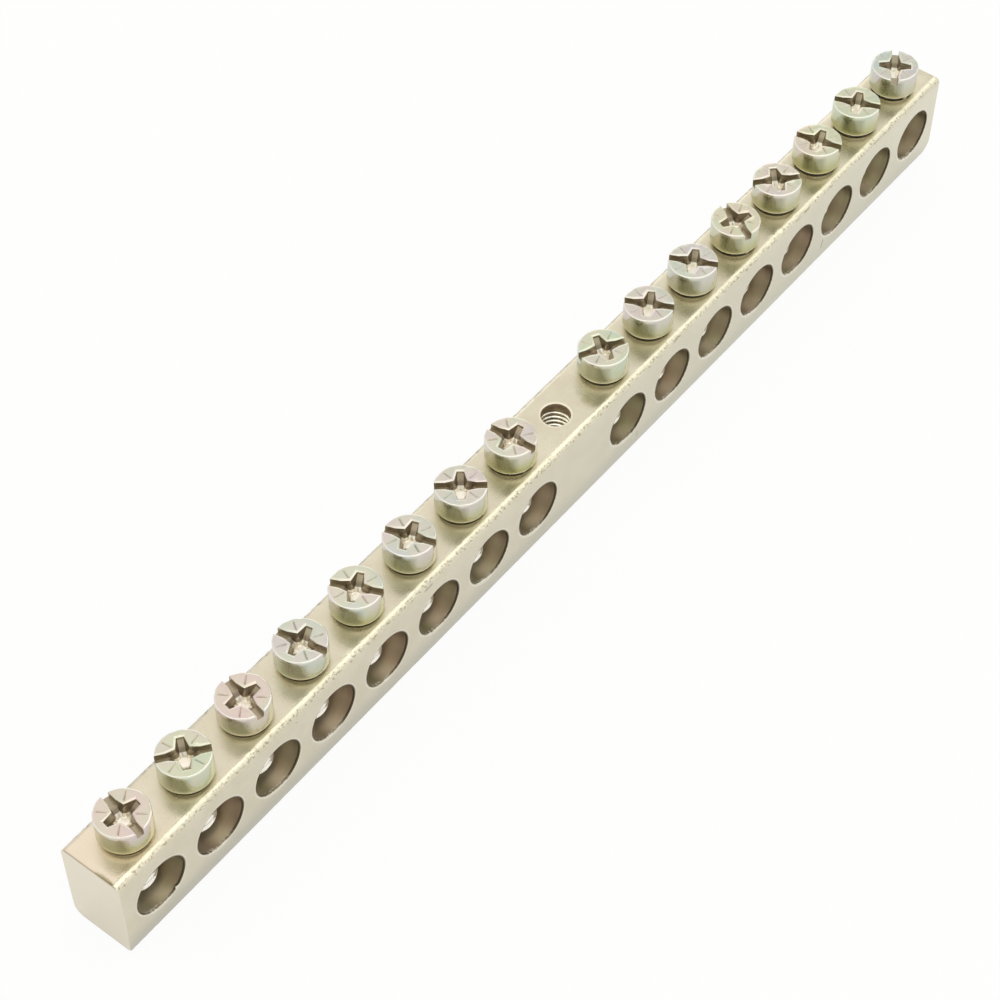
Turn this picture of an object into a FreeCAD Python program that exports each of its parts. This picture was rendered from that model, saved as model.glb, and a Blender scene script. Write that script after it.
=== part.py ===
import FreeCAD, Part
import math
import os

os.makedirs("parts", exist_ok=True)

# A brass terminal bar: sixteen clamp screws in two rows of eight, with a tapped
# mounting hole between the rows. All sizes are in millimetres.
# +X runs along the bar, -Y is the front with the wire holes, +Z is up at the screws.
# The origin is the middle of the bar's underside.

# Bar, a drawn brass section cropped to length
terminals_per_row = 8
terminal_pitch = 6.5
middle_gap = 12.6
end_margin = 3.9
bar_width = 5.8
bar_height = 9.0
edge_radius = 0.55
lower_back_edge_radius = 0.9
cropped_edge_radius = 1.25

# Wire holes, drilled through from front to back
wire_hole_radius = 2.5
wire_hole_floor = 2.15

# Mounting hole, tapped from below and plain near the top
mounting_hole_offset = -0.2
mounting_thread_radius = 1.5
mounting_plain_radius = 1.25
mounting_plain_length = 1.1

# Clamp screw, cheese head with a combined slot and cross recess
screw_thread_radius = 1.75
screw_thread_clearance = 0.05
screw_tip_radius = 1.3
tip_clearance_when_seated = 0.45
head_radius = 2.18
head_height = 2.37
head_rim_radius = 0.12
head_lower_edge_radius = 0.3
head_seat_gap = 0.35

# Recess in the head
slot_width = 0.72
slot_depth = 0.61
cross_width = 0.62
cross_half_length = 1.48
cross_end_depth = 0.3
recess_depth = 1.22
recess_floor_half_length = 0.36
recess_core_radius = 0.86

# How far each screw is turned: its slot's direction from the bar's length, in
# degrees, from the near end to the far end
slot_angles = [80, 143, 79, 102, 115, 109, 130, 95,
               152, 117, 116, 65, 139, 103, 112, 31]

# Cutting tools reach this far past the faces they leave
overrun = 1.0

row_length = (terminals_per_row - 1) * terminal_pitch
bar_length = 2 * (middle_gap / 2 + row_length + end_margin)
wire_hole_height = wire_hole_floor + wire_hole_radius
screw_hole_radius = screw_thread_radius + screw_thread_clearance
shank_length = bar_height - wire_hole_floor - tip_clearance_when_seated


def terminal_positions():
    """X of every terminal: each row starts middle_gap / 2 from the bar's middle."""
    far_row = [middle_gap / 2 + i * terminal_pitch for i in range(terminals_per_row)]
    near_row = [-x for x in reversed(far_row)]
    return near_row + far_row


def outline_face(points_and_arcs):
    """A planar face from a closed list of points; an arc is (middle point, end point)."""
    edges = []
    start = points_and_arcs[0]
    here = start
    for step in points_and_arcs[1:] + [start]:
        if isinstance(step, tuple):
            edges.append(Part.Arc(here, step[0], step[1]).toShape())
            here = step[1]
        elif here.distanceToPoint(step) > 1e-9:
            edges.append(Part.LineSegment(here, step).toShape())
            here = step
    return Part.Face(Part.Wire(edges))


def rounded_section():
    """The bar's section in the YZ plane at its near end, each long edge rounded."""
    x = -bar_length / 2
    corners = [
        (-bar_width / 2, 0, edge_radius, 180),
        (bar_width / 2, 0, lower_back_edge_radius, 270),
        (bar_width / 2, bar_height, edge_radius, 0),
        (-bar_width / 2, bar_height, edge_radius, 90),
    ]
    steps = []
    for y, z, radius, first_angle in corners:
        centre_y = y - math.copysign(radius, y)
        centre_z = radius if z == 0 else z - radius

        def on_arc(degrees):
            turn = math.radians(degrees)
            return FreeCAD.Vector(x, centre_y + radius * math.cos(turn), centre_z + radius * math.sin(turn))

        steps.append(on_arc(first_angle))
        steps.append((on_arc(first_angle + 45), on_arc(first_angle + 90)))
    return outline_face(steps)


def cropped_corner_tool():
    """What the crop rounds off along the far end's lower edge: a block less a round."""
    depth = bar_width + 2 * overrun
    corner = FreeCAD.Vector(bar_length / 2 - cropped_edge_radius, -depth / 2, -overrun)
    block = Part.makeBox(cropped_edge_radius + overrun, depth, cropped_edge_radius + overrun, corner)
    axis_start = FreeCAD.Vector(bar_length / 2 - cropped_edge_radius, -depth / 2, cropped_edge_radius)
    return block.cut(Part.makeCylinder(cropped_edge_radius, depth, axis_start, FreeCAD.Vector(0, 1, 0)))


def wire_hole_tool(x):
    """A drill right through the bar from front to back."""
    length = bar_width + 2 * overrun
    start = FreeCAD.Vector(x, -length / 2, wire_hole_height)
    return Part.makeCylinder(wire_hole_radius, length, start, FreeCAD.Vector(0, 1, 0))


def screw_hole_tool(x):
    """The tapped hole at its thread's outer radius, from the top face into the wire hole."""
    start = FreeCAD.Vector(x, 0, wire_hole_height)
    return Part.makeCylinder(screw_hole_radius, bar_height - wire_hole_height + overrun, start)


def mounting_hole_tool():
    """The tapped hole from below, at its thread's outer radius, and its plain upper end."""
    thread_top = bar_height - mounting_plain_length
    lower = Part.makeCylinder(mounting_thread_radius, thread_top + overrun,
                              FreeCAD.Vector(mounting_hole_offset, 0, -overrun))
    upper = Part.makeCylinder(mounting_plain_radius, mounting_plain_length + 2 * overrun,
                              FreeCAD.Vector(mounting_hole_offset, 0, thread_top - overrun))
    return lower.fuse(upper)


def make_bar():
    """The whole bar: one drawn and drilled piece of brass."""
    bar = rounded_section().extrude(FreeCAD.Vector(bar_length, 0, 0))
    tools = [cropped_corner_tool(), mounting_hole_tool()]
    for x in terminal_positions():
        tools.append(wire_hole_tool(x))
        tools.append(screw_hole_tool(x))
    return bar.cut(tools)


def screw_outline():
    """Half the screw's outline in the XZ plane, from the tip's centre round to the head's."""
    underside = bar_height + head_seat_gap
    top = underside + head_height
    tip = underside - shank_length
    tip_chamfer = screw_thread_radius - screw_tip_radius

    def at(r, z):
        return FreeCAD.Vector(r, 0, z)

    def arc_corner(r, z, radius, first_angle):
        turn = math.radians(first_angle + 45)
        end_turn = math.radians(first_angle + 90)
        middle = at(r + radius * math.cos(turn), z + radius * math.sin(turn))
        return (middle, at(r + radius * math.cos(end_turn), z + radius * math.sin(end_turn)))

    return outline_face([
        at(0, tip),
        at(screw_tip_radius, tip),
        at(screw_thread_radius, tip + tip_chamfer),
        at(screw_thread_radius, underside),
        at(head_radius - head_lower_edge_radius, underside),
        arc_corner(head_radius - head_lower_edge_radius, underside + head_lower_edge_radius,
                   head_lower_edge_radius, -90),
        at(head_radius, top - head_rim_radius),
        arc_corner(head_radius - head_rim_radius, top - head_rim_radius, head_rim_radius, 0),
        at(0, top),
    ])


def recess_tool(slot_angle):
    """The recess: a slot right across, and over it a cross with a round core.

    The cross's two arms have a flat middle, and rise to their ends. The core rises as they do.
    """
    top = bar_height + head_seat_gap + head_height
    slot_length = 2 * (head_radius + overrun)
    slot = Part.makeBox(slot_length, slot_width, slot_depth + overrun,
                        FreeCAD.Vector(-slot_length / 2, -slot_width / 2, top - slot_depth))
    side = -cross_width / 2
    arm = outline_face([
        FreeCAD.Vector(-cross_half_length, side, top - cross_end_depth),
        FreeCAD.Vector(-recess_floor_half_length, side, top - recess_depth),
        FreeCAD.Vector(recess_floor_half_length, side, top - recess_depth),
        FreeCAD.Vector(cross_half_length, side, top - cross_end_depth),
        FreeCAD.Vector(cross_half_length, side, top + overrun),
        FreeCAD.Vector(-cross_half_length, side, top + overrun),
    ]).extrude(FreeCAD.Vector(0, cross_width, 0))
    other_arm = arm.copy()
    other_arm.rotate(FreeCAD.Vector(0, 0, 0), FreeCAD.Vector(0, 0, 1), 90)
    slope = (recess_depth - cross_end_depth) / (cross_half_length - recess_floor_half_length)
    cone_height = slope * (recess_core_radius - recess_floor_half_length)
    cone = Part.makeCone(recess_floor_half_length, recess_core_radius, cone_height,
                         FreeCAD.Vector(0, 0, top - recess_depth))
    core = Part.makeCylinder(recess_core_radius, recess_depth - cone_height + overrun,
                             FreeCAD.Vector(0, 0, top - recess_depth + cone_height))
    tool = slot.fuse([arm, other_arm, cone, core])
    tool.rotate(FreeCAD.Vector(0, 0, 0), FreeCAD.Vector(0, 0, 1), slot_angle)
    return tool


def make_screw(x, slot_angle):
    """One clamp screw standing in its hole, its shank plain at the thread's outer radius."""
    blank = screw_outline().revolve(FreeCAD.Vector(0, 0, 0), FreeCAD.Vector(0, 0, 1), 360)
    screw = Part.Solid(blank.Shells[0]).cut(recess_tool(slot_angle))
    screw.translate(FreeCAD.Vector(x, 0, 0))
    return screw


def clean_solid(shape):
    """The shape without leftover seams, as a bare solid where it is one."""
    clean = shape.removeSplitter()
    return clean.Solids[0] if len(clean.Solids) == 1 else clean


clean_solid(make_bar()).exportStep("parts/bar.step")
for number, (x, angle) in enumerate(zip(terminal_positions(), slot_angles), start=1):
    clean_solid(make_screw(x, angle)).exportStep(f"parts/terminal_screw_{number:02d}.step")
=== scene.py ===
# %% [markdown]
# # A brass terminal bar with sixteen clamp screws
#
# A terminal bar joins a row of wires. The real one is a drawn brass bar, cropped to
# length, drilled sixteen times from front to back for the wires and sixteen times from
# above for the screws, with one tapped hole in its middle to hold it down.
#
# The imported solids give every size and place. This lesson lays a finer surface over each
# of them: drawn edges, drill burrs, threads, stamped screw recesses and two metals.
# Shapes are worked out in millimetres, because a Boolean keeps its precision best on
# numbers near one, and each finished mesh is then brought to metres.

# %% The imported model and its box
import math

import bpy
import numpy as np
from mathutils import Matrix, Vector


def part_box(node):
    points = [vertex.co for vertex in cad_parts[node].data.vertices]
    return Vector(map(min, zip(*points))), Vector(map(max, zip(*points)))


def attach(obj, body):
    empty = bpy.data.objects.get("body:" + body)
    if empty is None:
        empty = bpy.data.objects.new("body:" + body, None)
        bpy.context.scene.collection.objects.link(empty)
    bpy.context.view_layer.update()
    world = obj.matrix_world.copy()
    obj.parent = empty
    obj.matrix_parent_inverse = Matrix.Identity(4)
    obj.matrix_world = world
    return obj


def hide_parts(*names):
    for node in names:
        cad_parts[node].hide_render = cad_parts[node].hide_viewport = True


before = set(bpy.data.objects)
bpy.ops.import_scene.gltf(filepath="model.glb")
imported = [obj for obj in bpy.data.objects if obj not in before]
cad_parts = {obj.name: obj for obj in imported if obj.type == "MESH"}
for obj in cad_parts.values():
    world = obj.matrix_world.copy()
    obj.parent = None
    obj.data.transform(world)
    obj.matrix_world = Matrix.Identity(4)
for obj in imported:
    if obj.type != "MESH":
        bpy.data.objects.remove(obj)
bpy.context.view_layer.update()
scene = bpy.context.scene
metres = 0.001

# %% [markdown]
# ## Camera
# The photograph looks along the bar from above its near end. The camera's angle, place and
# lens were fitted to the outlines of the holes and heads, which are evenly spaced.

# %% Camera at the photograph's angle
camera_place = Vector((-0.111292, -0.080625, 0.163350))
camera_turn = math.radians(-52.105)
camera_height = math.radians(50.342)
camera_roll = math.radians(-0.160)
lens_in_millimetres = 89.46

backward = Vector((
    math.sin(camera_turn) * math.cos(camera_height),
    -math.cos(camera_turn) * math.cos(camera_height),
    math.sin(camera_height),
))
level_right = (-backward).cross(Vector((0, 0, 1))).normalized()
level_up = level_right.cross(-backward)
camera_right = level_right * math.cos(camera_roll) - level_up * math.sin(camera_roll)
camera_up = level_up * math.cos(camera_roll) + level_right * math.sin(camera_roll)

camera_data = bpy.data.cameras.new("camera")
camera_data.lens = lens_in_millimetres
camera_data.sensor_width = 36
camera_data.clip_start = 0.005
camera_data.clip_end = 20
camera = bpy.data.objects.new("camera", camera_data)
scene.collection.objects.link(camera)
camera_axes = Matrix((camera_right, camera_up, backward)).transposed().to_4x4()
camera.matrix_world = Matrix.Translation(camera_place) @ camera_axes
scene.camera = camera

# %% [markdown]
# ## A small kit for node trees
# Every material and the world are node trees. One helper adds a node with its settings
# and inputs. The others are short names for steps that come again and again, and they
# find their tree through the outputs that they are given.


# %% Helpers for node trees
def add_node(tree, kind, settings=None, inputs=None):
    """Adds a node of that kind. An input is a number or colour, or another node's output."""
    node = tree.nodes.new(kind)
    for name, value in (settings or {}).items():
        setattr(node, name, value)
    for name, value in (inputs or {}).items():
        if isinstance(value, bpy.types.NodeSocket):
            tree.links.new(value, node.inputs[name])
        else:
            node.inputs[name].default_value = value
    return node


def tree_of(*values):
    """The node tree of the first output among the values."""
    return next(value.id_data for value in values if isinstance(value, bpy.types.NodeSocket))


def calculate(operation, *values):
    """One arithmetic step on one to three values, of which at least one is an output."""
    inputs = dict(enumerate(values))
    return add_node(tree_of(*values), "ShaderNodeMath", {"operation": operation}, inputs).outputs[0]


def product(first, *others):
    """All the values multiplied together."""
    for other in others:
        first = calculate("MULTIPLY", first, other)
    return first


def between(value, low, high, to_low=0.0, to_high=1.0):
    """Eases from to_low, where the value is low, to to_high, where it is high."""
    settings = {"interpolation_type": "SMOOTHSTEP"}
    inputs = {"Value": value, "From Min": low, "From Max": high, "To Min": to_low, "To Max": to_high}
    return add_node(value.id_data, "ShaderNodeMapRange", settings, inputs).outputs["Result"]


def band(distance, low, high, to_low=0.0, to_high=1.0):
    """The same for a distance in the shader, with its low and high in millimetres."""
    return between(distance, low * metres, high * metres, to_low, to_high)


def blend_colours(factor, first, second):
    """The first colour where the factor is 0, the second where it is 1."""
    node = add_node(tree_of(factor, first, second), "ShaderNodeMix", {"data_type": "RGBA"})
    for socket, value in ((0, factor), (6, first), (7, second)):
        if isinstance(value, bpy.types.NodeSocket):
            node.id_data.links.new(value, node.inputs[socket])
        elif socket == 0:
            node.inputs[socket].default_value = value
        else:
            node.inputs[socket].default_value = (*value, 1)
    return node.outputs[2]


def paint(colour, *coats):
    """The colour under coats. Each coat is a colour and shares, and covers by their product."""
    for coat, *shares in coats:
        colour = blend_colours(product(*shares), colour, coat)
    return colour


def seen_rays(tree):
    """The light path's outputs, and 1 for a ray from the camera or through something clear."""
    ray = add_node(tree, "ShaderNodeLightPath").outputs
    return ray, calculate("MAXIMUM", ray["Is Camera Ray"], ray["Is Transmission Ray"])


# %% [markdown]
# ## Studio
# Bare metal shows its surroundings more than its own colour, so they are built with care:
# a pale tent, warm overhead, with a bright sheet beyond the bar's far end, two overhead,
# and a dimmer patch where the camera is, which the fronts of the heads mirror. One long
# soft box hangs over the bar.

# %% World, floor and lamps
white = (1.0, 1.0, 1.0)
world = bpy.data.worlds.new("studio")
scene.world = world
world.use_nodes = True
sky = world.node_tree
sky.nodes.clear()
direction = add_node(sky, "ShaderNodeTexCoord").outputs["Generated"]
sky_axes = add_node(sky, "ShaderNodeSeparateXYZ", inputs={0: direction}).outputs

# The ceiling and two walls: the axis, where on it the colour starts and is full, the colour
tent_sides = [
    ("Z", 0.0, 0.6, (0.98, 0.95, 0.915)),
    ("X", 0.54, 0.72, (0.89, 0.875, 0.80)),
    ("Y", -0.15, -0.50, (1.0, 0.985, 0.95)),
]
tent = (0.74, 0.74, 0.74)
for axis, start, full, colour in tent_sides:
    tent = blend_colours(between(sky_axes[axis], start, full), tent, colour)

# Each patch: where it lies, its outer and inner radius in degrees, its colour
sky_patches = [
    ((0.72, 0.62, 0.30), 24, 10, (1.45, 1.42, 1.35)),
    ((-0.60, 0.10, 0.79), 40, 18, (1.10, 1.07, 0.96)),
    ((0.20, 0.45, 0.87), 26, 8, (1.08, 1.03, 0.97)),
    (backward, 24, 11, (0.64, 0.62, 0.50)),
]
for towards, outer, inner, colour in sky_patches:
    aims = {0: direction, 1: Vector(towards).normalized()}
    nearness = add_node(sky, "ShaderNodeVectorMath", {"operation": "DOT_PRODUCT"}, aims).outputs["Value"]
    share = between(nearness, math.cos(math.radians(outer)), math.cos(math.radians(inner)))
    tent = blend_colours(share, tent, colour)
_, seen = seen_rays(sky)
tent = blend_colours(seen, tent, white)
surround = add_node(sky, "ShaderNodeBackground", inputs={"Color": tent, "Strength": 1.0})
add_node(sky, "ShaderNodeOutputWorld", inputs={"Surface": surround.outputs[0]})

# The floor lies just below the bar. It glows white where the camera sees it, and the
# metal mirrors some of that glow
floor_half = 3.0
floor_level = -0.0001
paper_white = (0.86, 0.86, 0.86, 1)
glow_seen = 0.93
glow_mirrored = 0.40
floor_mesh = bpy.data.meshes.new("floor")
floor_corners = [(side_x * floor_half, side_y * floor_half, floor_level)
                 for side_x, side_y in ((-1, -1), (1, -1), (1, 1), (-1, 1))]
floor_mesh.from_pydata(floor_corners, [], [(0, 1, 2, 3)])
floor = bpy.data.objects.new("floor", floor_mesh)
scene.collection.objects.link(floor)

floor_white = bpy.data.materials.new("floor_white")
floor_white.use_nodes = True
paper = floor_white.node_tree
paper.nodes.clear()
ray, seen = seen_rays(paper)
glow_share = calculate("MAXIMUM", product(seen, glow_seen),
                       product(ray["Is Glossy Ray"], glow_mirrored))
sheet = add_node(paper, "ShaderNodeBsdfDiffuse", inputs={"Color": paper_white})
glow = add_node(paper, "ShaderNodeEmission", inputs={"Color": (*white, 1), "Strength": 1.0})
mixed = add_node(paper, "ShaderNodeMixShader",
                 inputs={0: glow_share, 1: sheet.outputs[0], 2: glow.outputs[0]})
add_node(paper, "ShaderNodeOutputMaterial", inputs={"Surface": mixed.outputs[0]})
floor_mesh.materials.append(floor_white)

# The soft box hangs level and shines straight down, its length along the bar. A lamp of
# area A looks as bright as white when its power is pi times A watts
box_length = 1.3
box_width = 0.51
box_brightness = 0.70
box_data = bpy.data.lights.new("overhead_box", "AREA")
box_data.shape = "RECTANGLE"
box_data.size = box_length
box_data.size_y = box_width
box_data.energy = box_brightness * math.pi * box_length * box_width
box_data.color = (1.0, 0.985, 0.95)
overhead_box = bpy.data.objects.new("overhead_box", box_data)
overhead_box.location = (0.35, -0.105, 0.90)
scene.collection.objects.link(overhead_box)

# %% [markdown]
# ## Surfaces from rings
# Each shape here is a row of rings: a section carried along the bar, a profile turned
# about an axis, or a groove's section carried along a helix. One function joins them to a
# closed mesh, so the Booleans that stand for the drill, the tap and the stamping punch
# can trust it.

# %% Rings to closed meshes
drawn_face = 0
drilled_face = 1
tapped_face = 2
large_faces_first = 80


def mesh_volume(points, triangles):
    """The volume of a closed mesh: the sum of pyramids from the origin to each triangle."""
    a, b, c = (points[triangles[:, k]] for k in range(3))
    return float(np.einsum("ij,ij->i", a, np.cross(b, c)).sum() / 6)


def rings_to_faces(rings):
    """Points and faces of a closed surface: each ring joined to the next, both ends closed.

    Faces are turned round if the volume comes out negative, so they always point outwards.
    """
    rings = np.asarray(rings, float)
    count, around = rings.shape[:2]
    points = np.concatenate([rings.reshape(-1, 3), rings[:1].mean(1), rings[-1:].mean(1)])
    here = np.arange(count * around).reshape(count, around)
    beside = np.roll(here, -1, axis=1)
    quads = np.stack([here[:-1], beside[:-1], beside[1:], here[1:]], -1).reshape(-1, 4)
    first_middle = np.full(around, count * around)
    start = np.stack([beside[0], here[0], first_middle], -1)
    end = np.stack([here[-1], beside[-1], first_middle + 1], -1)
    triangles = np.concatenate([quads[:, [0, 1, 2]], quads[:, [0, 2, 3]], start, end])
    if mesh_volume(points, triangles) < 0:
        quads = quads[:, ::-1]
        start = start[:, ::-1]
        end = end[:, ::-1]
    return points, quads.tolist() + start.tolist() + end.tolist()


def make_object(name, shapes, face_kind=drawn_face):
    """One object, still in millimetres, from a list of shapes of rings that don't touch."""
    all_points = []
    all_faces = []
    offset = 0
    for points, faces in map(rings_to_faces, shapes):
        all_points.append(points)
        all_faces.extend([[index + offset for index in face] for face in faces])
        offset += len(points)
    mesh = bpy.data.meshes.new(name)
    mesh.from_pydata(np.concatenate(all_points), [], all_faces)
    mesh.polygons.foreach_set("material_index", np.full(len(mesh.polygons), face_kind, np.int32))
    for _ in (drawn_face, drilled_face, tapped_face):
        mesh.materials.append(None)
    result = bpy.data.objects.new(name, mesh)
    scene.collection.objects.link(result)
    return result


def cut_away(blank, cutters):
    """Takes each cutter from the blank, then removes the cutters."""
    for cutter in cutters:
        step = blank.modifiers.new(cutter.name, "BOOLEAN")
        step.operation = "DIFFERENCE"
        step.solver = "MANIFOLD"
        step.object = cutter
    graph = bpy.context.evaluated_depsgraph_get()
    carved = bpy.data.meshes.new_from_object(blank.evaluated_get(graph))
    blank.modifiers.clear()
    blank.data = carved
    for cutter in cutters:
        bpy.data.objects.remove(cutter)


def triangle_count(mesh):
    """How many triangles the faces of a mesh make."""
    return sum(len(face.vertices) - 2 for face in mesh.polygons)


def smooth_with_edges(piece, sharpest_smooth_angle):
    """Smooth shading that stops at edges sharper than the angle and keeps flat faces flat."""
    mesh = piece.data
    mesh.polygons.foreach_set("use_smooth", np.ones(len(mesh.polygons), bool))
    mesh.set_sharp_from_angle(angle=math.radians(sharpest_smooth_angle))
    step = piece.modifiers.new("even_normals", "WEIGHTED_NORMAL")
    step.keep_sharp = True
    step.weight = large_faces_first


def mesh_points(mesh):
    """All points of a mesh as one array."""
    flat = np.empty(len(mesh.vertices) * 3)
    mesh.vertices.foreach_get("co", flat)
    return flat.reshape(-1, 3)


# %% [markdown]
# ## Sizes read from the solids
# The bar's box gives its length, width and height, and each screw's box gives its place.
# The radii that a box can't tell are named here.

# %% Sizes
bar_low, bar_high = (np.array(corner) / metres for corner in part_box("bar"))
half_length = bar_high[0]
half_width = bar_high[1]
bar_height = bar_high[2]
screw_names = [f"terminal_screw_{number:02d}" for number in range(1, 17)]
screw_boxes = [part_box(name) for name in screw_names]
screw_places = [float(low[0] + high[0]) / 2 / metres for low, high in screw_boxes]
head_top = float(screw_boxes[0][1][2]) / metres
screw_tip = float(screw_boxes[0][0][2]) / metres

edge_radius = 0.55
lower_back_edge_radius = 0.9
cropped_edge_radius = 1.25
wire_hole_radius = 2.5
wire_hole_height = 4.65
screw_hole_radius = 1.8
mounting_place = -0.2
mounting_radius = 1.25
mounting_thread_radius = 1.5
mounting_plain_length = 1.1
mounting_pitch = 0.5

# Cutting tools reach this far past the faces they leave
overrun = 1
print("bar:", bar_low.round(3), bar_high.round(3))
print("tips:", round(screw_tip, 3), "tops:", round(head_top, 3))

# %% [markdown]
# ## The bar
# Brass bar is drawn through a die, which leaves straight, slightly rounded long edges.
# It is then cropped to length: the near end keeps a thin lip along its top, and the far
# end's lower edge is rolled over. The long edges are full of small dents, as bars get
# when they are tumbled together.
#
# A box with a Bevel modifier would have even edges, like plastic. Here the section is
# carried along the length as rings, and each ring is dented a little.


# %% The drawn and cropped blank
def section_points(corner_steps=9, flat_steps=(8, 6, 14, 12)):
    """The section's outline in Y and Z, anticlockwise from the lower front corner.

    Each corner is a quarter circle, and each flat is divided evenly.
    """
    corners = [
        (-half_width, 0, edge_radius, 180),
        (half_width, 0, lower_back_edge_radius, 270),
        (half_width, bar_height, edge_radius, 0),
        (-half_width, bar_height, edge_radius, 90),
    ]
    arcs = []
    for y, z, radius, first in corners:
        turn = np.radians(np.linspace(first, first + 90, corner_steps))
        centre_y = y - math.copysign(radius, y)
        centre_z = radius if z == 0 else z - radius
        arcs.append(np.stack([centre_y + radius * np.cos(turn), centre_z + radius * np.sin(turn)], -1))
    pieces = []
    for number, arc in enumerate(arcs):
        share = np.linspace(0, 1, flat_steps[number] + 1)[1:-1, None]
        following = arcs[(number + 1) % 4][0]
        pieces.append(arc)
        pieces.append(arc[-1] * (1 - share) + following * share)
    return np.concatenate(pieces)


def soft_noise(points, wavelength, seed, waves=9):
    """A smooth random field, about -1 to 1: a sum of sine waves in random directions."""
    random = np.random.default_rng(seed)
    aims = random.normal(size=(waves, 3))
    aims *= 2 * np.pi / wavelength / np.linalg.norm(aims, axis=1, keepdims=True)
    aims *= random.uniform(0.6, 1.6, (waves, 1))
    phases = random.uniform(0, 2 * np.pi, waves)
    return np.sin(points @ aims.T + phases).sum(-1) / math.sqrt(waves)


def bar_rings(spacing=0.22, rim=0.06, seed=4):
    """The bar as rings along X, from the near end's face to the far end's.

    Inset is how far a ring lies inside the outline: on the end faces and round their rims.
    """
    deep_dent = 0.075
    shallow_dent = 0.012
    lower_dents = 0.4
    lip_length = 0.09
    lip_height = 0.035
    lip_front_step = 0.03
    lean_length = 0.15
    lean_depth = 0.07
    lean_top = 1.9
    end_roughness = 0.006

    outline = section_points()
    face_inset = np.array([2.7, 2.2, 1.7, 1.3, 0.9, 0.6, 0.35, 0.18])
    round_turn = np.radians([0, 30, 60, 90])
    rim_inset = rim * (1 - np.sin(round_turn))
    rim_x = rim * (1 - np.cos(round_turn))
    length_x = np.arange(-half_length + 0.2, half_length - cropped_edge_radius, spacing)
    roll_turn = np.radians(np.arange(0, 78, 6))
    roll_x = half_length - cropped_edge_radius + cropped_edge_radius * np.sin(roll_turn)
    x = np.concatenate([np.full(8, -half_length), -half_length + rim_x, length_x, roll_x,
                        half_length - rim_x[::-1], np.full(8, half_length)])
    inset = np.concatenate([face_inset, rim_inset, np.zeros(len(length_x) + len(roll_x)),
                            rim_inset[::-1], face_inset[::-1]])
    middle = bar_height / 2
    y = outline[None, :, 0] * (1 - inset / half_width)[:, None]
    z = middle + (outline[None, :, 1] - middle) * (1 - inset / middle)[:, None]

    # Dents along the two top edges and, shallower, along the lower ones
    random = np.random.default_rng(seed)
    beaten = random.random(y.shape) ** 5 * deep_dent
    beaten += shallow_dent * random.random(y.shape)
    from_middle = np.abs(outline[:, 0]) + np.abs(outline[:, 1] - middle)
    on_corner = np.clip((from_middle - (half_width + middle - edge_radius)) / 0.15, 0, 1)
    on_corner = on_corner * np.where(outline[:, 1] > middle, 1, lower_dents)
    share = on_corner[None, :] * (inset < 0.01)[:, None]
    dent = beaten * share / math.sqrt(2)
    y = y - dent * np.sign(outline[:, 0])
    z = z - dent * np.sign(outline[:, 1] - middle)

    # The far end's lower edge is rolled: the section is squeezed upwards there
    past = np.clip(x - (half_length - cropped_edge_radius), 0, cropped_edge_radius)
    lift = cropped_edge_radius - np.sqrt(cropped_edge_radius ** 2 - past ** 2)
    z = lift[:, None] + z * (1 - lift[:, None] / bar_height)

    # The near end: a thin lip stands along its top edge, and its face leans back at the foot
    points = np.stack([np.broadcast_to(x[:, None], y.shape), y, z], -1)
    lip_share = np.exp(-((x + half_length) / lip_length) ** 2)[:, None] * (z > bar_height - 0.08)
    points[..., 2] += lip_share * (lip_height + lip_front_step * (points[..., 1] < -0.35))
    lean = np.exp(-((x + half_length) / lean_length) ** 2)[:, None]
    points[..., 0] += lean * lean_depth * np.clip(1 - points[..., 2] / lean_top, 0, 1) ** 1.5
    ends = np.abs(points[..., 0]) > half_length - 0.03
    rough = end_roughness * (1 + soft_noise(points, 2.2, seed))
    points[..., 0] -= np.sign(points[..., 0]) * ends * rough
    points[..., 0] = np.clip(points[..., 0], -half_length, half_length)
    return points


bar = make_object("terminal_bar", [bar_rings()])

# %% [markdown]
# ## Drilling the bar
# Each wire hole goes right through. Its mouths have a fine rounded rim, and a ragged lip
# stands over the lower side of the front one. So the drill is a profile turned about Y
# whose radius also depends on the angle. The mounting hole is made as in the workshop: a
# plain drill first, then a tap from below.


# %% Drills and tap
def mouth_lip(angle, number):
    """How far the lip reaches into a mouth, by the angle from +X, and by which hole it is.

    It is a bell curve below the hole, roughened by short waves, with fine teeth all round.
    The near holes are smoother, the far ones have hardly a lip, and the first has a chip.
    """
    chip_height = 0.34
    chip_angle = math.radians(-56)
    chip_width = math.radians(3.2)
    random = np.random.default_rng(100 + number)
    smooth_hole = number < 5
    faint_hole = number > 12
    height = 0.13 if smooth_hole else 0.05 if faint_hole else random.uniform(0.14, 0.21)
    middle = math.radians(-100 + random.uniform(-7, 7))
    width = math.radians(26)
    bell = np.exp(-(np.angle(np.exp(1j * (angle - middle))) / width) ** 2)
    roughness = 0.12 if smooth_hole else 0.55
    rough = sum(np.sin(angle * turns + random.uniform(0, 7)) for turns in (23, 31, 44, 57)) / 4
    lip = height * bell * (1 + roughness * rough)
    tooth = 0.012 if smooth_hole else 0.04 if number < 8 else 0.065
    teeth = sum(np.sin(angle * turns + random.uniform(0, 7)) for turns in (29, 41, 53, 67)) / 2
    lip += tooth * np.clip(teeth, -0.3, 1.2)
    if number == 0:
        lip += chip_height * np.exp(-((angle - chip_angle) / chip_width) ** 2)
    return np.clip(lip, 0, None)


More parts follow.
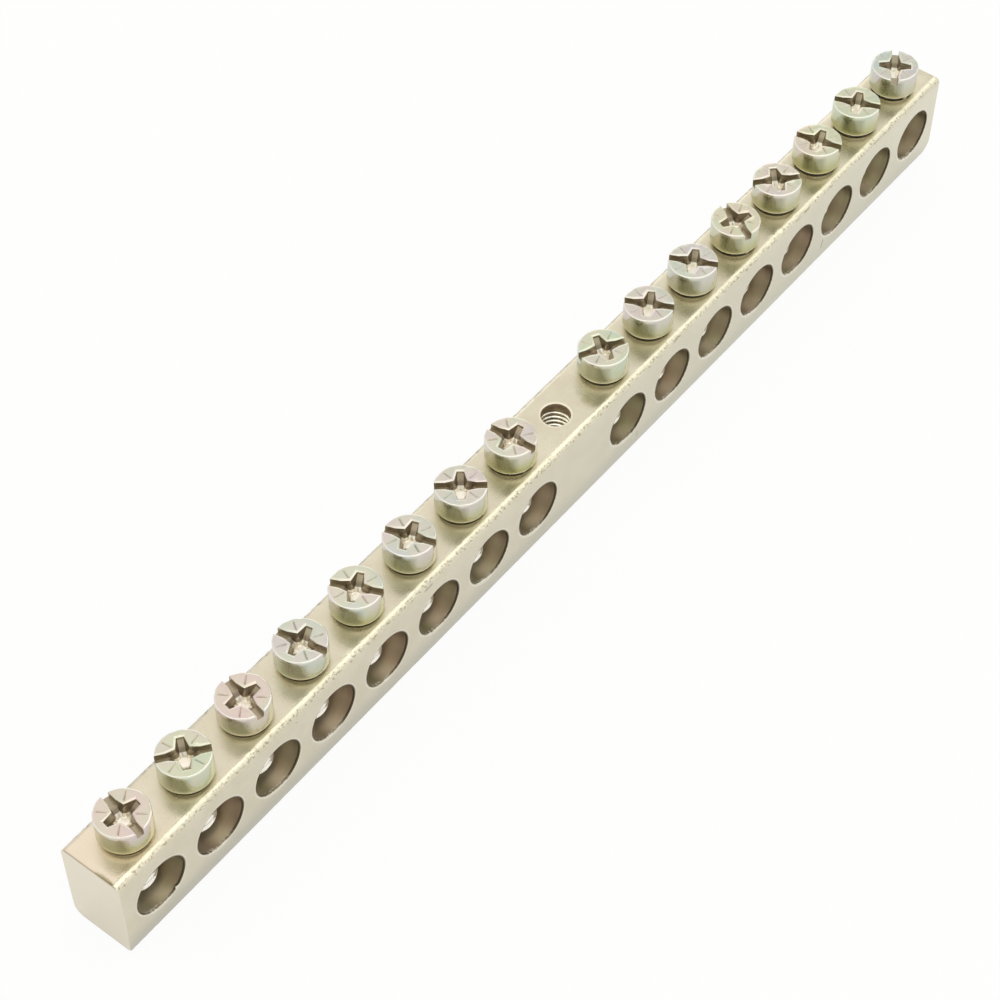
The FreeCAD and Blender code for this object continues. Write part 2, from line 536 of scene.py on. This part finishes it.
def wire_drill(x, number, around=200, rim=0.07):
    """A drill along Y at x, wider at both mouths by a quarter circle.

    The front mouth is narrowed by its lip, which fades a little way in.
    """
    past_rim = 0.09
    lip_depth = 0.17
    turn = np.radians([0, 30, 60, 80])
    out = half_width - rim + rim * np.sin(turn)
    wider = rim * (1 - np.cos(turn))
    inner = np.array([-2.3, 0, 2.3])
    lip_y = np.array([-2.76, -2.68, -2.55])
    y = np.concatenate([[-half_width - overrun, -half_width - 0.02], -out[::-1], lip_y, inner,
                        [2.7], out, [half_width + 0.02, half_width + overrun]])
    flare = np.concatenate([[past_rim] * 2, wider[::-1], np.zeros(7), wider, [past_rim] * 2])
    angle = np.linspace(0, 2 * np.pi, around, endpoint=False)
    fade = np.exp(-((np.clip(y, -half_width, None) + half_width) / lip_depth) ** 2)
    radius = wire_hole_radius + flare[:, None] - fade[:, None] * mouth_lip(np.pi / 2 - angle, number)
    return np.stack([x + radius * np.sin(angle),
                     np.broadcast_to(y[:, None], radius.shape),
                     wire_hole_height + radius * np.cos(angle)], -1)


def turned(profile, x, around=64):
    """A profile of (radius, height) pairs turned about a standing axis at x."""
    profile = np.asarray(profile, float)
    angle = np.linspace(0, 2 * np.pi, around, endpoint=False)
    return np.stack([x + profile[:, :1] * np.cos(angle),
                     profile[:, :1] * np.sin(angle),
                     np.broadcast_to(profile[:, 1:], (len(profile), around))], -1)


def helix_groove(x, section, pitch, low, high, per_turn=48, fade_radius=0.0):
    """A groove's section carried up a helix about a standing axis at x.

    The section is a loop of (radius, height) pairs. Its radii move by fade_radius over the
    last turn, so the groove runs out.
    """
    section = np.asarray(section, float)
    turns = (high - low) / pitch
    along = np.linspace(0, turns, int(turns * per_turn) + 1)
    fade = fade_radius * np.clip(along - (turns - 1), 0, 1) ** 2
    radius = section[None, :, 0] + fade[:, None]
    angle = 2 * np.pi * along[:, None]
    height = low + pitch * along[:, None] + section[None, :, 1]
    return np.stack([x + radius * np.cos(angle), radius * np.sin(angle), height], -1)


wire_drills = make_object("wire_drills", [
    wire_drill(x, number, 128 if number < 5 else 200)
    for number, x in enumerate(screw_places)], drilled_face)

screw_drill_profile = [
    (screw_hole_radius, wire_hole_height),
    (screw_hole_radius, bar_height - 0.06),
    (screw_hole_radius + 0.06, bar_height + 0.005),
    (screw_hole_radius + 0.06, bar_height + overrun),
]
screw_drills = make_object(
    "screw_drills", [turned(screw_drill_profile, x) for x in screw_places], drilled_face)

mounting_profile = [
    (mounting_radius + 0.3, -overrun),
    (mounting_radius + 0.3, -0.01),
    (mounting_radius, 0.28),
    (mounting_radius, bar_height - 0.09),
    (mounting_radius + 0.03, bar_height - 0.04),
    (mounting_radius + 0.09, bar_height + 0.01),
    (mounting_radius + 0.09, bar_height + overrun),
]
mounting_drill = make_object("mounting_drill", [turned(mounting_profile, mounting_place)], drilled_face)

groove_root = 0.04
groove_mouth = 0.205
groove_overlap = 0.04
tap_section = [
    (mounting_radius - groove_overlap, groove_mouth),
    (mounting_thread_radius, groove_root),
    (mounting_thread_radius, -groove_root),
    (mounting_radius - groove_overlap, -groove_mouth),
]
tap_top = bar_height - mounting_plain_length + mounting_pitch / 2
tap = make_object("tap", [helix_groove(
    mounting_place, tap_section, mounting_pitch, -0.6, tap_top, fade_radius=-0.22)], tapped_face)

cut_away(bar, [wire_drills, screw_drills, mounting_drill, tap])
bar.data.transform(Matrix.Scale(metres, 4))
smooth_with_edges(bar, 32)
print("bar faces:", len(bar.data.polygons), "triangles:", triangle_count(bar.data))

# %% [markdown]
# ## The clamp screws
# The recess takes two drivers: a slot runs right across the head, and over it stands a
# cross with a deep round core and arms whose floors rise outwards. Four thin ticks lie
# between the arms. One master screw is turned, grooved and stamped. Its sixteen copies
# are turned to the angles seen in the photograph, and each is roughened by its own noise.

# %% Turned blank of the screw
shank_radius = 1.75
tip_radius = 1.3
head_radius = 2.18
head_height = 2.37
head_rim_radius = 0.12
head_lower_edge_radius = 0.3

# A seated head stays this far above the top face, so that the two don't lie in one plane
seat_clearance = 0.01
head_underside = head_top - head_height + seat_clearance
thread_pitch = 0.6
thread_depth = 0.34


def quarter(radius, height, size, first, steps=5):
    """A quarter circle of (radius, height) pairs about a centre, from the first angle."""
    turn = np.radians(np.linspace(first, first + 90, steps))
    return [(radius + size * math.cos(t), height + size * math.sin(t)) for t in turn]


screw_profile = [
    (0.45, screw_tip),
    (tip_radius - 0.05, screw_tip),
    (tip_radius, screw_tip + 0.03),
    (shank_radius, screw_tip + shank_radius - tip_radius),
    (shank_radius, head_underside),
    *quarter(head_radius - head_lower_edge_radius, head_underside + head_lower_edge_radius,
             head_lower_edge_radius, -90),
    (head_radius, head_underside + 0.9),
    (head_radius, head_top - 0.7),
    *quarter(head_radius - head_rim_radius, head_top - head_rim_radius, head_rim_radius, 0),
    (head_radius - 0.5, head_top),
    (head_radius - 1.1, head_top),
    (0.5, head_top),
]
master_screw = make_object("master_screw", [turned(screw_profile, 0, 96)])

thread_root = 0.05
thread_mouth = 0.275
thread_section = [
    (shank_radius - thread_depth, thread_root),
    (shank_radius + groove_overlap, thread_mouth),
    (shank_radius + groove_overlap, -thread_mouth),
    (shank_radius - thread_depth, -thread_root),
]
thread_groove = make_object("thread_groove", [helix_groove(
    0, thread_section, thread_pitch, screw_tip - 0.5, head_underside - 0.3, fade_radius=0.3)])


# %% Stamping punch
def rounded_bar(half_long, half_wide, root, corner, z, steps=4):
    """A level ring: a bar along X with round corners, whose middle is wider by root each way."""
    corner = min(corner, half_long * 0.98, half_wide * 0.98)
    turn = np.radians(np.linspace(0, 90, steps))
    ring = []
    for quadrant, (side_x, side_y) in enumerate(((1, 1), (-1, 1), (-1, -1), (1, -1))):
        angle = turn + quadrant * math.pi / 2
        ring.append(np.stack([side_x * (half_long - corner) + corner * np.cos(angle),
                              side_y * (half_wide - corner) + corner * np.sin(angle),
                              np.full(steps, z)], -1))
        if side_x == (1 if side_y > 0 else -1):
            ring.append(np.array([[0, side_y * (half_wide + root), z]]))
    return np.concatenate(ring)


def punch(levels, corner):
    """A punch built of level rings, each (depth below the head, half length, half width, root)."""
    return np.stack([rounded_bar(long, wide, root, corner, head_top - depth)
                     for depth, long, wide, root in levels])


def spun(rings, degrees):
    """The rings turned about the screw's axis."""
    cosine = math.cos(math.radians(degrees))
    sine = math.sin(math.radians(degrees))
    return rings @ np.array([[cosine, sine, 0], [-sine, cosine, 0], [0, 0, 1]])


# Each level: its depth below the head, half length, half width and root
slot_levels = [(0.61, 4, 0.31, 0), (0.08, 4, 0.32, 0), (0.055, 4, 0.335, 0), (0.020, 4, 0.41, 0),
               (0.003, 4, 0.48, 0), (-0.01, 4, 0.56, 0), (-1, 4, 0.56, 0)]
slot_punch = make_object("slot_punch", [punch(slot_levels, 0.02)], drilled_face)
arm_levels = [(1.22, 0.40, 0.26, 0.05), (0.34, 1.42, 0.27, 0.33), (0.28, 1.46, 0.28, 0.35),
              (0.08, 1.47, 0.29, 0.36), (0.055, 1.48, 0.305, 0.36), (0.020, 1.55, 0.38, 0.36),
              (0.003, 1.62, 0.45, 0.36), (-0.01, 1.70, 0.53, 0.36), (-1, 1.70, 0.53, 0.36)]
arm = punch(arm_levels, 0.05)
arm_punches = [make_object("arm_punch", [spun(arm, angle)], drilled_face)
               for angle in (0, 90)]

# The core's radius at each depth
core_levels = [(0.42, 1.215), (0.50, 1.05), (0.64, 0.60), (0.72, 0.08), (0.735, 0.055),
               (0.81, 0.02), (0.88, 0.003), (0.96, -0.01), (0.96, -1)]
core_profile = [(radius, head_top - depth) for radius, depth in core_levels]
core_punch = make_object("core_punch", [turned(core_profile, 0, 48)], drilled_face)


def tick_punch(degrees):
    """A thin wedge between two arms, from near the core to near the rim."""
    start = 0.98
    end = 1.95
    run_out = 0.12
    width = 0.12
    depth = 0.10
    ends = np.array([start, start + run_out, end - run_out, end])
    deep = np.array([0.0, depth, depth, 0.0])
    above = head_top + 0.02
    rings = [[(x, width, above), (x, 0, head_top - d - 0.001), (x, -width, above),
              (x, 0, head_top + 0.5)] for x, d in zip(ends, deep)]
    return spun(np.array(rings), degrees)


ticks = make_object("ticks", [tick_punch(45 + 90 * k) for k in range(4)], drilled_face)
cut_away(master_screw, [thread_groove, slot_punch, *arm_punches, core_punch, ticks])
print("screw triangles:", triangle_count(master_screw.data))

# %% Sixteen screws from the master
slot_angles = [80, 143, 79, 102, 115, 109, 130, 95, 152, 117, 116, 65, 139, 103, 112, 31]
master_points = mesh_points(master_screw.data)


def screw_copy(number):
    """The master's points turned by the slot's angle, moved to their place and roughened.

    Smooth noise sinks the head's top and draws its side in, by a few hundredths of a
    millimetre at most, so no screw grows past its solid.
    """
    deepest_sink = 0.010
    most_drawn_in = 0.006
    points = spun(master_points, slot_angles[number])
    noise = soft_noise(points, 1.1, 300 + number)
    on_top = np.clip((points[:, 2] - head_underside - 0.4) / 0.4, 0, 1)
    sink = deepest_sink * on_top * (1 + noise)
    points[:, 2] -= np.clip(sink, 0, None) * (points[:, 2] > head_top - 0.3)
    away = np.hypot(points[:, 0], points[:, 1])
    narrower = 1 - most_drawn_in * np.clip(1 + noise, 0, None) * on_top * (away > 1.2)
    points[:, :2] *= narrower[:, None]
    points[:, 0] += screw_places[number]
    return points * metres


def add_attribute(mesh, name, values, kind="FLOAT", field="value"):
    """Gives each point of the mesh a number or a colour that its material reads."""
    attribute = mesh.attributes.new(name, kind, "POINT")
    attribute.data.foreach_set(field, np.asarray(values, np.float32))


# 1 on the round of the head's rim, which carries a painted highlight, and 0 elsewhere
rim_reach = 0.11
off_centre = np.hypot(master_points[:, 0], master_points[:, 1])
rim_highlight = (off_centre > head_radius - rim_reach) & (master_points[:, 2] > head_top - rim_reach)

# Each screw's clouds of tint are this far on from the last one's in the noise
film_step = 0.37

# The screws' tints, and how strongly a painted reflection of the brass yellows their sides, from the
# near end
film_colours = {
    "pink": (0.68, 0.57, 0.54), "green": (0.58, 0.64, 0.49), "blue": (0.56, 0.60, 0.60),
    "straw": (0.66, 0.63, 0.47), "lilac": (0.61, 0.57, 0.58), "white": (0.65, 0.63, 0.56),
}
brass_reflection_shares = [0.9, 0.5, 0.6, 0.5, 0.9, 0.6, 0.9, 1.1, 0.5, 0.8, 0.6, 0.9, 0.9, 1.1, 1.0, 0.6]
film_names = ["pink", "green", "pink", "blue", "white", "lilac", "lilac", "white",
              "green", "lilac", "blue", "straw", "white", "straw", "green", "blue"]
screws = []
for number, name in enumerate(screw_names):
    mesh = master_screw.data.copy()
    mesh.name = f"clamp_screw_{number + 1:02d}"
    mesh.vertices.foreach_set("co", screw_copy(number).ravel())
    count = len(mesh.vertices)
    add_attribute(mesh, "film", np.full(count, film_step * number))
    add_attribute(mesh, "rim_highlight", rim_highlight)
    # How strongly the painted reflection of the brass yellows this screw's side
    add_attribute(mesh, "straw", np.full(count, brass_reflection_shares[number]))
    one_colour = (*film_colours[film_names[number]], 1)
    add_attribute(mesh, "film_colour", np.tile(one_colour, count), "FLOAT_COLOR", "color")
    mesh.update()
    screw = bpy.data.objects.new(mesh.name, mesh)
    scene.collection.objects.link(screw)
    smooth_with_edges(screw, 30)
    screws.append(screw)
bpy.data.objects.remove(master_screw)
print("screws:", len(screws))

# %% [markdown]
# ## Drawn brass
# The brass is pale and satin, with faint drawn lines along the bar, a mottled bloom, and
# lighter, yellower metal along the beaten long edges, partly wear and partly a painted
# highlight. A flat colour would look like paint, because on metal the small changes of
# gloss are what the eye reads.
#
# Some marks are dirt, and some are painted shade, shadow, highlight and reflection.
# All are painted where they were seen, so they keep their places from every side.


# %% Drawn brass
def metal_material(name):
    """A new material with one Principled shader, nearly all metal, and where a point lies."""
    material = bpy.data.materials.new(name)
    material.use_nodes = True
    tree = material.node_tree
    shader = tree.nodes["Principled BSDF"]
    shader.inputs["Metallic"].default_value = 0.9
    place = add_node(tree, "ShaderNodeTexCoord").outputs["Object"]
    axes = add_node(tree, "ShaderNodeSeparateXYZ", inputs={0: place}).outputs
    return material, shader, place, axes


def noise_value(place, scale, detail=3.0, roughness=0.55, stretch=(1, 1, 1)):
    """Noise from 0 to 1 at a number of features per metre, stretched along the axes."""
    tree = place.id_data
    mapping = add_node(tree, "ShaderNodeMapping", inputs={"Vector": place, "Scale": stretch})
    inputs = {"Vector": mapping.outputs[0], "Scale": scale, "Detail": detail, "Roughness": roughness}
    return add_node(tree, "ShaderNodeTexNoise", inputs=inputs).outputs["Fac"]


def bump(height, distance, strength=1.0, normal=None):
    """A bump whose height is in metres."""
    inputs = {"Height": height, "Distance": distance, "Strength": strength}
    if normal is not None:
        inputs["Normal"] = normal
    return add_node(height.id_data, "ShaderNodeBump", inputs=inputs).outputs["Normal"]


def connect(shader, outputs):
    """Links each output to the shader's input of that name."""
    for name, output in outputs.items():
        shader.id_data.links.new(output, shader.inputs[name])


def size_of(value):
    """The value without its sign."""
    return calculate("ABSOLUTE", value)


def length_of(first, second):
    """The length of a pair of numbers at right angles."""
    squares = calculate("MULTIPLY_ADD", first, first, product(second, second))
    return calculate("SQRT", squares)


first_hole = screw_places[8]
last_hole = screw_places[15]
half_pitch = (screw_places[9] - first_hole) / 2


def from_hole_axis(axes):
    """How far along X a point is from the nearest wire hole's axis."""
    past_first = calculate("SUBTRACT", size_of(axes["X"]), first_hole * metres)
    off_axis = calculate("WRAP", past_first, half_pitch * metres, -half_pitch * metres)
    return product(off_axis, calculate("SIGN", axes["X"]))


def by_wire_hole(axes):
    """1 within half a pitch of a wire hole's axis, 0 elsewhere."""
    away = size_of(axes["X"])
    return product(calculate("GREATER_THAN", away, (first_hole - half_pitch) * metres),
                   calculate("LESS_THAN", away, (last_hole + half_pitch) * metres))


drawn_brass, shader, place, axes = metal_material("drawn_brass")
bloom = noise_value(place, 420, 5.0, 0.62)
lines = noise_value(place, 900, 4.0, 0.6, (0.05, 1, 1))
grain = noise_value(place, 9000, 2.0)
pits = noise_value(place, 5500, 3.0, 0.6)
off_axis = from_hole_axis(axes)
by_hole = by_wire_hole(axes)
out_in_front = product(axes["Y"], -1)
on_top = band(axes["Z"], bar_height - 0.4, bar_height - 0.1)
on_front = band(out_in_front, half_width - 0.2, half_width)

# Along the front-top edge the band is partly wear and partly a painted highlight
# The worn band starts sharply where the edge's round does, and ends about halfway round.
# Noise moves its two borders by up to half these lengths, in millimetres, either way
border_shift = 0.25
lower_border_shift = 0.45
edge_noise = noise_value(place, 3200, 4.0, 0.7, (1, 0.5, 0.5))
shift = calculate("SUBTRACT", edge_noise, 0.5)
forward = calculate("MULTIPLY_ADD", shift, border_shift * metres, out_in_front)
upward = calculate("MULTIPLY_ADD", shift, lower_border_shift * metres, axes["Z"])
past_top = band(forward, half_width - 0.66, half_width - 0.58)
worn_and_highlit = product(past_top, band(upward, bar_height - 0.20, bar_height - 0.10))

# Small dark nicks follow the band's lower side
nick_noise = noise_value(place, 5200, 2.0, 0.5, (0.8, 1, 1))
nicks = product(between(nick_noise, 0.53, 0.61), past_top,
                band(upward, bar_height - 0.38, bar_height - 0.26),
                band(upward, bar_height, bar_height - 0.12))

# Dark specks lie on the top face, most of them near the front edge
speck_noise = noise_value(place, 7000, 2.0, 0.5)
specks = product(between(speck_noise, 0.62, 0.72), band(forward, 0.2, 2.1, 0.15, 1.0),
                 band(axes["Z"], bar_height - 0.03, bar_height - 0.01))

# Both cropped ends, the top face's near end and the front's far half differ a little, and the front's
# foot is darker as painted shade
colour = blend_colours(between(bloom, 0.3, 0.7), (0.68, 0.635, 0.50), (0.73, 0.69, 0.56))
cropped = band(size_of(axes["X"]), half_length - 0.10, half_length - 0.03)
near_end = band(axes["X"], 9.2 - half_length, 2.2 - half_length, 0.0, 0.75)
front_foot_shade = band(axes["Z"], 3.2, 0.2)
far_half = band(axes["X"], -40, 50, 0.0, 0.6)
colour = paint(
    colour,
    ((0.78, 0.725, 0.60), cropped),
    ((0.84, 0.74, 0.60), near_end, on_top),
    ((0.56, 0.545, 0.475), on_front, front_foot_shade),
    ((0.73, 0.72, 0.60), on_front, far_half),
    # Wear and a painted highlight along the front-top edge
    ((0.88, 0.85, 0.67), worn_and_highlit, 0.85),
    ((0.36, 0.33, 0.20), nicks, 0.75),
    ((0.38, 0.33, 0.20), specks, 0.55))

# Each wire hole's mouth has a pale ring, and a dark line inside it on its upper side
above_axis = calculate("SUBTRACT", axes["Z"], wire_hole_height * metres)
from_wire_hole = length_of(off_axis, above_axis)
mouth_ring = product(band(from_wire_hole, wire_hole_radius + 0.26, wire_hole_radius + 0.16),
                     band(size_of(axes["Y"]), half_width - 0.10, half_width - 0.05))
mouth_line = product(band(from_wire_hole, wire_hole_radius + 0.14, wire_hole_radius + 0.09),
                     band(above_axis, -1.2, 0.2, 0.0, 0.8))
colour = paint(colour, ((0.93, 0.90, 0.80), mouth_ring, by_hole, 0.5),
               ((0.17, 0.145, 0.10), mouth_line, by_hole))

# The mounting hole's mouth has a thin light ring
off_mounting = calculate("SUBTRACT", axes["X"], mounting_place * metres)
mounting_ring = band(length_of(off_mounting, axes["Y"]),
                     mounting_radius + 0.21, mounting_radius + 0.14)
colour = paint(colour, ((0.98, 0.93, 0.76), mounting_ring, 0.6))


def scratch(x, z, degrees, length, width):
    """A mark on the front face: 1 along a short line through a point, 0 away from it."""
    turn = math.radians(degrees)
    right = calculate("SUBTRACT", axes["X"], x * metres)
    high = calculate("SUBTRACT", axes["Z"], z * metres)
    along_it = calculate("MULTIPLY_ADD", right, math.cos(turn), product(high, math.sin(turn)))
    across_it = calculate("MULTIPLY_ADD", high, math.cos(turn), product(right, -math.sin(turn)))
    return product(band(size_of(along_it), length * 0.5, length * 0.3),
                   band(size_of(across_it), width * 0.5, width * 0.1))


# Each mark: its X and Z, its slope in degrees, its length and its width
marks = 0.0
for mark in ((-20.5, 8.50, 3, 1.2, 0.30), (-36.4, 8.03, -55, 0.45, 0.12),
             (-40.7, 8.80, -50, 0.40, 0.12), (7.8, 1.50, 88, 0.8, 0.20),
             (-2.5, 2.45, -50, 0.35, 0.12), (36.8, 1.95, 75, 1.1, 0.40)):
    marks = calculate("MAXIMUM", marks, scratch(*mark))
front_only = band(forward, half_width - 0.2, half_width - 0.1)

# A dark line lies along the near end's lip, and a ring of painted shadow lies under each head
lip_line = product(band(axes["X"], 0.15 - half_length, 0.06 - half_length),
                   band(axes["Z"], bar_height - 0.11, bar_height - 0.06))
from_screw = length_of(off_axis, axes["Y"])
head_shadow_ring = band(from_screw, head_radius - 0.20, head_radius - 0.28, 0.0, 0.9)
colour = paint(colour, ((0.36, 0.34, 0.27), marks, front_only, 0.7),
               ((0.30, 0.25, 0.17), lip_line, 0.6), ((0.06, 0.045, 0.03), head_shadow_ring, by_hole))

# The worn edges and the top face round the heads are duller than the rest
gloss = between(bloom, 0.25, 0.75, 0.15, 0.21)
gloss = calculate("ADD", gloss, between(lines, 0.3, 0.7, -0.03, 0.03))
gloss = calculate("MULTIPLY_ADD", worn_and_highlit, 0.12, gloss)
dulled = product(band(from_screw, 4.2, 2.8, 0.0, 0.12), on_top)
gloss = calculate("MULTIPLY_ADD", dulled, by_hole, gloss)
normal = bump(lines, 0.000004)
normal = bump(grain, 0.000003, 1.0, normal)
normal = bump(product(worn_and_highlit, pits), 0.00003, 0.7, normal)
connect(shader, {"Base Color": colour, "Roughness": gloss, "Normal": normal})

# %% [markdown]
# ## Drilled brass
# Inside the holes the metal is darker and browner, and a little different from hole to
# hole. The drill leaves fine rings round each wire hole, so the pattern changes mostly
# along Y.
# Painted highlights and shade run along the wire holes' walls, and a painted shadow lies round the top
# of each screw hole, under its head.

# %% Drilled brass
drilled_brass, shader, place, axes = metal_material("drilled_brass")
rings = noise_value(place, 3200, 3.0, 0.6, (0.02, 1, 0.02))
bloom = noise_value(place, 500, 4.0, 0.6)
hole_by_hole = noise_value(place, 180, 1.0, 0.5, (1, 0, 0))
colour = paint(
    (0.60, 0.465, 0.36),
    ((0.50, 0.49, 0.30), between(hole_by_hole, 0.44, 0.56)),
    ((0.64, 0.56, 0.41), between(bloom, 0.3, 0.7, 0.0, 0.4)),
    ((0.68, 0.60, 0.45), between(rings, 0.42, 0.62, 0.0, 0.30)))
above_axis = calculate("SUBTRACT", axes["Z"], wire_hole_height * metres)
round_angle = calculate("ARCTAN2", above_axis, from_hole_axis(axes))


def streak(middle, half_wide, strength):
    """Strength along a line on the hole's wall, fading to 0 that many degrees to either side."""
    off_line = size_of(calculate("SUBTRACT", round_angle, math.radians(middle)))
    return between(off_line, math.radians(half_wide), 0.0, 0.0, strength)


# Painted highlights and shade along a wire hole's wall: angle from +X, half width, strength and colour
wall_highlights_and_shade = [
    (-42, 26, 0.8, (0.45, 0.375, 0.27)),
    (-86, 30, 0.9, (0.92, 0.83, 0.66)),
    (-130, 30, 0.5, (0.62, 0.58, 0.48)),
    (16, 26, 0.8, (0.34, 0.28, 0.19)),
]
for middle, half_wide, strength, painted_light_colour in wall_highlights_and_shade:
    colour = paint(colour, (painted_light_colour, streak(middle, half_wide, strength)))

# A dark line runs round inside each mouth, and flecks of burr on its lower side carry painted glints
out_from_middle = size_of(axes["Y"])
low_side = streak(-104, 52, 1.0)
mouth_line = band(out_from_middle, half_width - 0.24, half_width - 0.16)
elsewhere = calculate("SUBTRACT", 1.0, low_side)
fleck_noise = noise_value(place, 3800, 2.0, 0.6)
burr_glints = product(between(fleck_noise, 0.50, 0.56), low_side,
                 band(out_from_middle, half_width - 0.45, half_width - 0.25))
colour = paint(colour, ((0.11, 0.09, 0.06), mouth_line, elsewhere, 0.9),
               ((1.0, 0.98, 0.92), burr_glints))

# The mounting hole is browner in its plain upper part, and its upper rim alone is light
in_mounting_hole = band(size_of(axes["X"]), 2.4, 2.0)
thread_top = bar_height - mounting_plain_length
# Below the plain part the wall is painted pale, a painted highlight on the thread's crests
below_plain = band(axes["Z"], thread_top + 0.18, thread_top + 0.08)
hole_colour = blend_colours(below_plain, (0.52, 0.41, 0.28), (0.94, 0.88, 0.73))
# This rim band also paints the top of each screw hole black, a painted shadow under its head
top_rim = band(axes["Z"], bar_height - 0.10, bar_height - 0.07)
colour = paint(colour, (hole_colour, in_mounting_hole), ((0.03, 0.025, 0.02), top_rim),
               ((1.0, 0.97, 0.84), top_rim, in_mounting_hole))
connect(shader, {
    "Base Color": colour,
    "Metallic": between(burr_glints, 0.0, 1.0, 0.9, 0.3),
    "Roughness": between(bloom, 0.3, 0.7, 0.38, 0.50),
    "Normal": bump(rings, 0.000010),
})

# The tap cuts clean metal, and its flanks are also painted pale as a highlight
tapped_brass, shader, place, _ = metal_material("tapped_brass")
turnings = noise_value(place, 4000, 2.0)
colour = blend_colours(between(turnings, 0.3, 0.7), (0.94, 0.89, 0.75), (1.0, 0.97, 0.86))
connect(shader, {"Base Color": colour})
shader.inputs["Roughness"].default_value = 0.13

bar.data.materials[drawn_face] = drawn_brass
bar.data.materials[drilled_face] = drilled_brass
bar.data.materials[tapped_face] = tapped_brass

# %% [markdown]
# ## Plated steel
# The screws are zinc plated, and their clear finish shows faint colours, pink, green, blue
# and straw, as oil does on water. The colours are soft clouds that differ from screw to
# screw, so a slow noise picks them from a short row of pale tints. The recess is duller
# and browner.
# The recess carries painted shade in its core and a painted highlight on its floor, and the outside
# carries a painted reflection of the brass, painted highlights and painted shade.

# %% Plated steel
tint_row = [(0.57, 0.64, 0.64), (0.61, 0.67, 0.51), (0.70, 0.67, 0.55), (0.71, 0.61, 0.57),
            (0.64, 0.60, 0.61)]
tint_places = [0.30, 0.40, 0.50, 0.60, 0.70]
mirrored_patch_turn = math.radians(-157)
tip_highlight_start = 6.5
tip_highlight_end = 5.2


def own_value(tree, name, output="Fac"):
    """What add_attribute gave the screw under that name."""
    return add_node(tree, "ShaderNodeAttribute", {"attribute_name": name}).outputs[output]


def recess_colour(colour, high):
    """The recess: brown below the head's face, with painted shade in the core and a painted highlight on
    the floor.
    """
    below = band(high, head_top - 0.07, head_top - 0.14)
    core_shade = band(high, head_top - 0.55, head_top - 0.80)
    floor_highlight = band(high, head_top - 0.90, head_top - 0.98)
    brown = blend_colours(core_shade, (0.38, 0.32, 0.22), (0.21, 0.16, 0.10))
    return paint(colour, (brown, below, 0.85), ((1.0, 0.96, 0.86), floor_highlight))


def outside_colour(colour, axes):
    """The head's side and rim, the thread and the tip, with painted reflection, highlights and shade."""
    tree = colour.id_data
    high = axes["Z"]
    # The straw band is a painted reflection of the brass on the head's lower side, and the foot, rim and
    # tip carry painted highlights
    straw = band(high, head_underside + 2.1, head_underside + 0.5)
    foot_highlight = band(high, head_underside + 0.30, head_underside + 0.22)
    tip_highlight = band(high, tip_highlight_start, tip_highlight_end)

    # A painted reflection darkens a patch on one side of each head
    off_axis = from_hole_axis(axes)
    from_axis = length_of(off_axis, axes["Y"])
    towards = calculate("MULTIPLY_ADD", off_axis, math.cos(mirrored_patch_turn),
                        product(axes["Y"], math.sin(mirrored_patch_turn)))
    mirrored_patch = between(calculate("DIVIDE", towards, from_axis), 0.80, 0.96)
    on_side = product(band(high, head_underside + 0.34, head_underside + 0.59),
                      band(high, head_top - 0.22, head_top - 0.47))

    # The thread's roots below the top face and the tip's edge carry painted shade
    root = band(from_axis, shank_radius - 0.13, shank_radius - 0.25, 0.0, 0.85)
    in_bar = band(high, bar_height, bar_height - 0.2)
    past_tip = band(high, screw_tip + 0.50, screw_tip + 0.60)
    tip_edge_shade = band(high, screw_tip + 0.17, screw_tip + 0.09)
    return paint(
        colour,
        ((0.49, 0.49, 0.24), straw, own_value(tree, "straw"), 0.85),
        ((0.88, 0.85, 0.66), foot_highlight),
        ((0.96, 0.95, 0.91), own_value(tree, "rim_highlight"), 0.6),
        ((1.0, 0.98, 0.92), tip_highlight),
        ((0.27, 0.28, 0.17), mirrored_patch, on_side, 0.6),
        ((0.16, 0.135, 0.10), root, in_bar, past_tip),
        ((0.20, 0.17, 0.12), tip_edge_shade))


def steel_material(name, stamped):
    """Zinc-plated steel, either on the outside of a screw or inside its stamped recess."""
    material, shader, place, axes = metal_material(name)
    tree = material.node_tree
    clouds = add_node(tree, "ShaderNodeTexNoise", {"noise_dimensions": "4D"}, {
        "Vector": place, "W": own_value(tree, "film"), "Scale": 430.0, "Detail": 2.0, "Roughness": 0.5})
    tints = add_node(tree, "ShaderNodeValToRGB", inputs={"Fac": clouds.outputs["Fac"]})
    ramp = tints.color_ramp
    while len(ramp.elements) < len(tint_row):
        ramp.elements.new(0.5)
    for element, position, tint in zip(ramp.elements, tint_places, tint_row):
        element.position = position
        element.color = (*tint, 1)
    colour = blend_colours(0.55, own_value(tree, "film_colour", "Color"), tints.outputs["Color"])
    if stamped:
        colour = recess_colour(colour, axes["Z"])
    else:
        colour = outside_colour(colour, axes)
        metallic = band(axes["Z"], tip_highlight_start, tip_highlight_end, 0.9, 0.7)
        connect(shader, {"Metallic": metallic})
    hammered = noise_value(place, 1300, 3.0, 0.6)
    grain = noise_value(place, 7000, 2.0)
    normal = bump(grain, 0.0000025, 1.0, bump(hammered, 0.00002))
    softest = 0.34 if stamped else 0.21
    gloss = between(hammered, 0.3, 0.7, softest - 0.08, softest)
    connect(shader, {"Base Color": colour, "Roughness": gloss, "Normal": normal})
    return material


plated_steel = steel_material("plated_steel", False)
stamped_steel = steel_material("stamped_steel", True)
for screw in screws:
    screw.data.materials.pop(index=tapped_face)
    screw.data.materials[drawn_face] = plated_steel
    screw.data.materials[drilled_face] = stamped_steel

# %% [markdown]
# ## Bodies, nodes and finish
# Each piece stands for its solid and rides on that solid's body, so that a screw
# travels with its joint.

# %% Every piece on its body
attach(bar, "bar")
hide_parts("bar")
for screw, name in zip(screws, screw_names):
    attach(screw, name)
    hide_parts(name)

# %% View settings and sizes
scene.view_settings.view_transform = "Standard"
